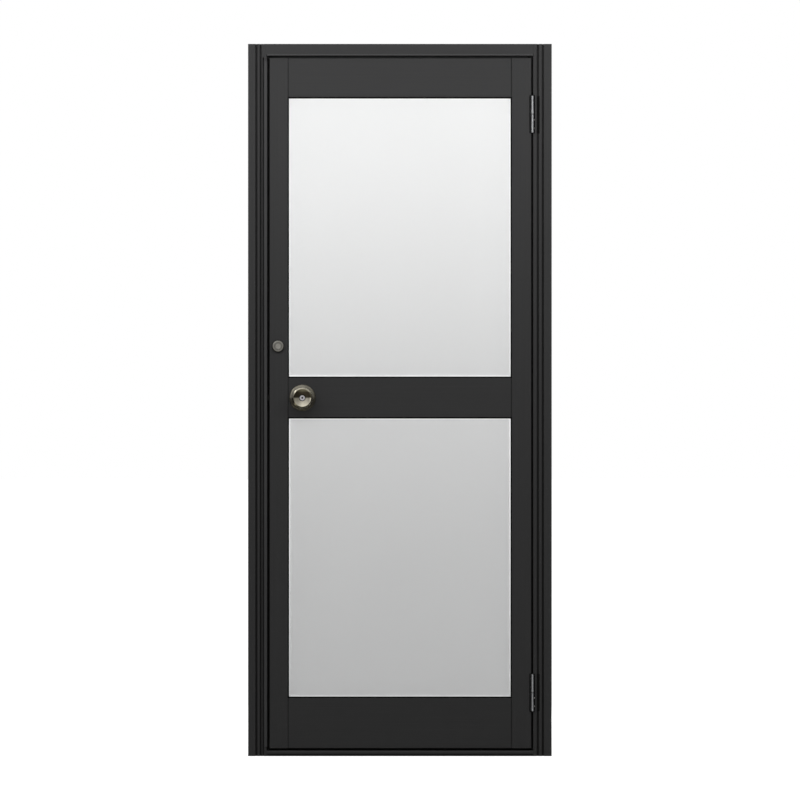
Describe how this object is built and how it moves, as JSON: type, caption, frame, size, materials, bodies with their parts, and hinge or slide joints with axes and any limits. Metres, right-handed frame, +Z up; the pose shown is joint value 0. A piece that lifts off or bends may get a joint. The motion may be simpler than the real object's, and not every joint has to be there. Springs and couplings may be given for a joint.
{
  "type": "glass door with frame",
  "caption": "Glazed aluminium service door hung in its own frame, opening outwards, with a keyed ball knob, a sprung latch and a small auxiliary deadbolt lock.",
  "frame": {"origin": "middle of the underside of the sill, halfway through the frame's depth", "axes": "+X from the latch side to the hinge side, +Y from outdoors to indoors, +Z up"},
  "size_m": [0.785, 0.1193, 1.841],
  "materials": {
    "frame_finish": "satin charcoal anodised coating, lightly grained along the extrusion",
    "leaf_finish": "satin charcoal anodised coating, lightly grained along the extrusion",
    "strip_finish": "satin charcoal, a little lighter than the jamb",
    "weatherstrip": "matte black",
    "glazing_gasket": "matte black, with a pale grey inner lip",
    "frosted_glass": "frosted on one face",
    "hinge_steel": "satin, lightly brushed",
    "plate_steel": "satin",
    "black_plate": "blackened, satin",
    "plain_steel": "zinc plated",
    "spring_steel": "drawn wire",
    "black_nylon": "matte",
    "black_plastic": "matte",
    "bronze": "polished, amber bronze",
    "dark_collar": "gloss black",
    "plug_nickel": "satin chrome",
    "satin_nickel": "satin nickel, turned"
  },
  "bodies": {
    "frame": {"latch_jamb": "frame_finish", "hinge_jamb": "frame_finish", "head": "frame_finish", "sill": "frame_finish", "jamb_cover_strip": "strip_finish", "latch_side_seal": "weatherstrip", "hinge_side_seal": "weatherstrip", "head_seal": "weatherstrip", "sill_seal": "weatherstrip", "latch_strike": "black_plate", "deadbolt_strike": "black_plate", "strike_screws": "black_plate", "frame_corner_screws": "plain_steel", "upper_hinge_frame_half": "hinge_steel", "lower_hinge_frame_half": "hinge_steel", "upper_hinge_pin": "plain_steel", "lower_hinge_pin": "plain_steel", "hinge_washers": "black_nylon", "hinge_frame_screws": "plate_steel"},
    "leaf": {"latch_stile": "leaf_finish", "hinge_stile": "leaf_finish", "top_rail": "leaf_finish", "middle_rail": "leaf_finish", "bottom_rail": "leaf_finish", "upper_glass": "frosted_glass", "lower_glass": "frosted_glass", "upper_gasket": "glazing_gasket", "lower_gasket": "glazing_gasket", "leaf_corner_screws": "plain_steel", "stile_end_caps": "black_plastic", "upper_hinge_leaf_half": "hinge_steel", "lower_hinge_leaf_half": "hinge_steel", "hinge_leaf_screws": "plate_steel", "outer_rose": "bronze", "inner_rose": "bronze", "rose_screws": "bronze", "lock_chassis": "plain_steel", "latch_case": "plain_steel", "latch_faceplate": "black_plate", "deadbolt_case": "plain_steel", "deadbolt_faceplate": "black_plate", "faceplate_screws": "black_plate", "lock_collar": "satin_nickel", "turn_rose": "satin_nickel", "latch_spring": "spring_steel"},
    "knob": {"outer_knob": "bronze", "inner_knob": "bronze", "key_collars": "dark_collar", "knob_spindle": "plain_steel", "latch_cam": "plain_steel"},
    "latch": {"latch_bolt": "plain_steel"},
    "lock_core": {"key_plug": "plug_nickel", "core_tailpiece": "plain_steel", "turn_button": "bronze"},
    "deadbolt_turn": {"lock_plug": "satin_nickel", "lock_tailpiece": "plain_steel", "thumb_turn": "satin_nickel"},
    "deadbolt": {"deadbolt": "plain_steel"}
  },
  "joints": [
    {"name": "door_swing", "type": "hinge", "parent": "frame", "child": "leaf", "pos_m": [0.3421, -0.036, 0.91125], "axis": [0, 0, 1], "range_deg": [0, 170]},
    {"name": "knob_turn", "type": "hinge", "parent": "leaf", "child": "knob", "pos_m": [-0.2518, -0.018, 0.9261], "axis": [0, 1, 0], "range_deg": [0, 60], "stiffness_Nm_per_rad": 0.12, "springref_deg": -34.38},
    {"name": "latch_slide", "type": "slide", "parent": "leaf", "child": "latch", "axis": [1, 0, 0], "range_m": [0, 0.013], "deforming": ["latch_spring"]},
    {"name": "knob_lock_turn", "type": "hinge", "parent": "knob", "child": "lock_core", "pos_m": [-0.2518, -0.018, 0.9261], "axis": [0, 1, 0], "range_deg": [0, 90]},
    {"name": "deadbolt_turn", "type": "hinge", "parent": "leaf", "child": "deadbolt_turn", "pos_m": [-0.3147, -0.018, 1.0594], "axis": [0, -1, 0], "range_deg": [0, 90]},
    {"name": "deadbolt_slide", "type": "slide", "parent": "leaf", "child": "deadbolt", "axis": [-1, 0, 0], "range_m": [0, 0.013]}
  ],
  "couplings": [
    {"joint": "latch_slide", "follows": "knob_turn", "m_per_rad": 0.012414},
    {"joint": "deadbolt_turn", "follows": "deadbolt_slide", "rad_per_m": 120.83}
  ]
}
